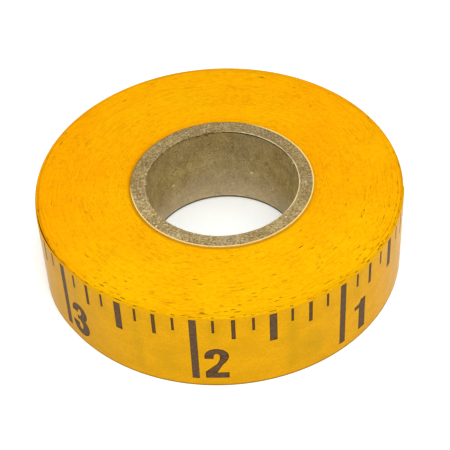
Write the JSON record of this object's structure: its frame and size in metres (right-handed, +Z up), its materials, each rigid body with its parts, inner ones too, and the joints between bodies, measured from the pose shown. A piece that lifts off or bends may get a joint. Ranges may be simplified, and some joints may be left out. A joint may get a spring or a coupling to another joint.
{
  "type": "ruler tape roll",
  "caption": "Roll of orange adhesive paper tape printed with an inch scale, wound on a grey-brown spiral paper core, its free end able to peel away from the roll.",
  "frame": {"origin": "bottom face of the roll, at the centre of the circle that its last turn makes", "axes": "+Z up along the roll's axis, towards the printed scale's top edge; -Y is the side that the inch marks 2 and 3 stand either side of"},
  "size_m": [0.0622, 0.0623, 0.0159],
  "materials": {
    "core_board": "grey-brown recycled board, matt, with pale fibres and dark specks",
    "tape_edges": "slit edges of orange-yellow dyed paper, matt, with fine concentric lines",
    "printed_face": "orange-yellow paper with a low satin sheen, printed with a dark scale"
  },
  "bodies": {
    "roll": {"core_inner_ply": "core_board", "core_second_ply": "core_board", "core_middle_ply": "core_board", "core_fourth_ply": "core_board", "core_outer_ply": "core_board", "tape_winding": "tape_edges", "tape_outer_turn": "printed_face"},
    "end_link_1": {"tape_end_link_1": "printed_face"},
    "end_link_2": {"tape_end_link_2": "printed_face"},
    "end_link_3": {"tape_end_link_3": "printed_face"},
    "end_link_4": {"tape_end_link_4": "printed_face"},
    "end_link_5": {"tape_end_link_5": "printed_face"},
    "end_link_6": {"tape_end_link_6": "printed_face"},
    "end_link_7": {"tape_end_link_7": "printed_face"},
    "end_link_8": {"tape_end_link_8": "printed_face"}
  },
  "joints": [
    {"name": "end_peel_1", "type": "hinge", "parent": "roll", "child": "end_link_1", "pos_m": [0.01866, -0.02498, 0.00792], "axis": [0, 0, -1], "range_deg": [0, 14]},
    {"name": "end_peel_2", "type": "hinge", "parent": "end_link_1", "child": "end_link_2", "pos_m": [0.0211, -0.02296, 0.00792], "axis": [0, 0, -1], "range_deg": [0, 14]},
    {"name": "end_peel_3", "type": "hinge", "parent": "end_link_2", "child": "end_link_3", "pos_m": [0.02333, -0.0207, 0.00792], "axis": [0, 0, -1], "range_deg": [0, 14]},
    {"name": "end_peel_4", "type": "hinge", "parent": "end_link_3", "child": "end_link_4", "pos_m": [0.02531, -0.01822, 0.00792], "axis": [0, 0, -1], "range_deg": [0, 14]},
    {"name": "end_peel_5", "type": "hinge", "parent": "end_link_4", "child": "end_link_5", "pos_m": [0.02703, -0.01556, 0.00792], "axis": [0, 0, -1], "range_deg": [0, 14]},
    {"name": "end_peel_6", "type": "hinge", "parent": "end_link_5", "child": "end_link_6", "pos_m": [0.02848, -0.01273, 0.00792], "axis": [0, 0, -1], "range_deg": [0, 14]},
    {"name": "end_peel_7", "type": "hinge", "parent": "end_link_6", "child": "end_link_7", "pos_m": [0.02962, -0.00978, 0.00792], "axis": [0, 0, -1], "range_deg": [0, 14]},
    {"name": "end_peel_8", "type": "hinge", "parent": "end_link_7", "child": "end_link_8", "pos_m": [0.03047, -0.00672, 0.00792], "axis": [0, 0, -1], "range_deg": [0, 14]}
  ],
  "couplings": [
    {"joint": "end_peel_2", "follows": "end_peel_1", "ratio": 1},
    {"joint": "end_peel_3", "follows": "end_peel_1", "ratio": 1},
    {"joint": "end_peel_4", "follows": "end_peel_1", "ratio": 1},
    {"joint": "end_peel_5", "follows": "end_peel_1", "ratio": 1},
    {"joint": "end_peel_6", "follows": "end_peel_1", "ratio": 1},
    {"joint": "end_peel_7", "follows": "end_peel_1", "ratio": 1},
    {"joint": "end_peel_8", "follows": "end_peel_1", "ratio": 1}
  ]
}
